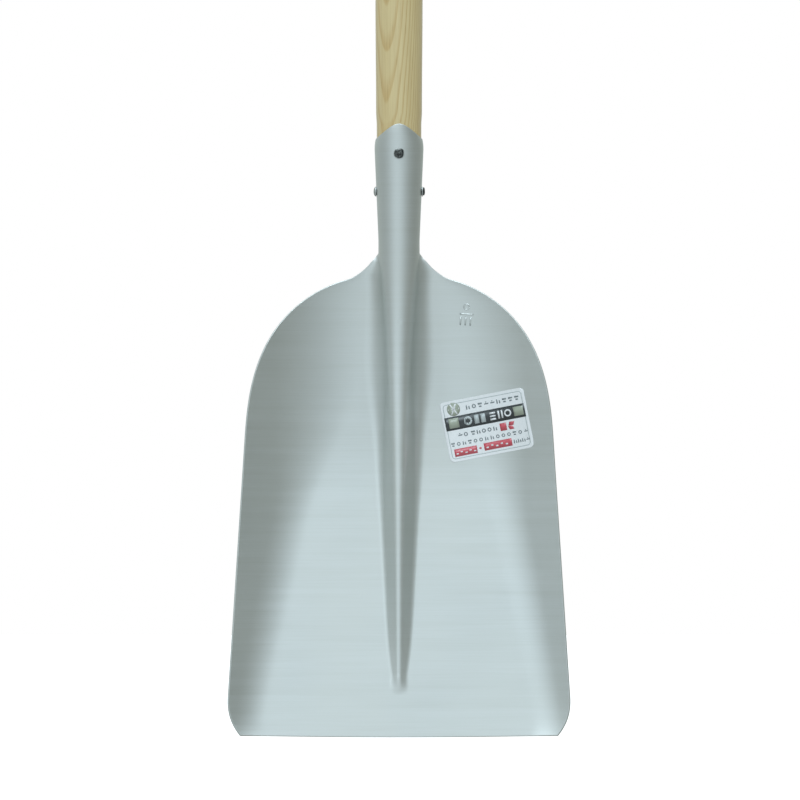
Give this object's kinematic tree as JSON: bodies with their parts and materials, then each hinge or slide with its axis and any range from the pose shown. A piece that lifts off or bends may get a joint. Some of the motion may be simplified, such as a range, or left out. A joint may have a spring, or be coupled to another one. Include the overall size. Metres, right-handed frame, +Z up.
{
  "type": "snow shovel",
  "caption": "Scoop shovel for snow: pressed aluminium blade with centre rib and rolled socket, straight wooden shaft, pressed-steel D-grip with a turned wooden bar.",
  "frame": {"origin": "under the middle of the grip bar, where the shovel hangs on a peg; the cutting edge is 950 mm below it", "axes": "+Z up along the shaft from the blade to the grip, +X to the right along the grip bar seen from the hollow side, +Y to the back of the blade"},
  "size_m": [0.2474, 0.099, 0.98],
  "materials": {
    "sheet_aluminium": "satin anodised, faint horizontal rolling lines",
    "label_film": null,
    "shaft_wood": "pale ash, clear satin varnish",
    "rivet_steel": "hammered, darkened",
    "burr_aluminium": "plain",
    "yoke_steel": "silver-grey enamel on pressed steel",
    "zinc_steel": "zinc plated",
    "grip_wood": "pale turned hardwood, satin varnish"
  },
  "bodies": {
    "root": {"blade": "sheet_aluminium", "label": "label_film", "shaft": "shaft_wood", "front_rivet": "rivet_steel", "front_burr": "burr_aluminium", "side_rivet": "rivet_steel", "side_burr": "burr_aluminium", "yoke_front": "yoke_steel", "yoke_back": "yoke_steel", "arm_rivets": "zinc_steel", "yoke_rivet": "zinc_steel", "yoke_rivet_burr": "burr_aluminium", "grip_bar": "grip_wood", "grip_pin": "zinc_steel", "grip_washers": "zinc_steel"}
  },
  "joints": []
}
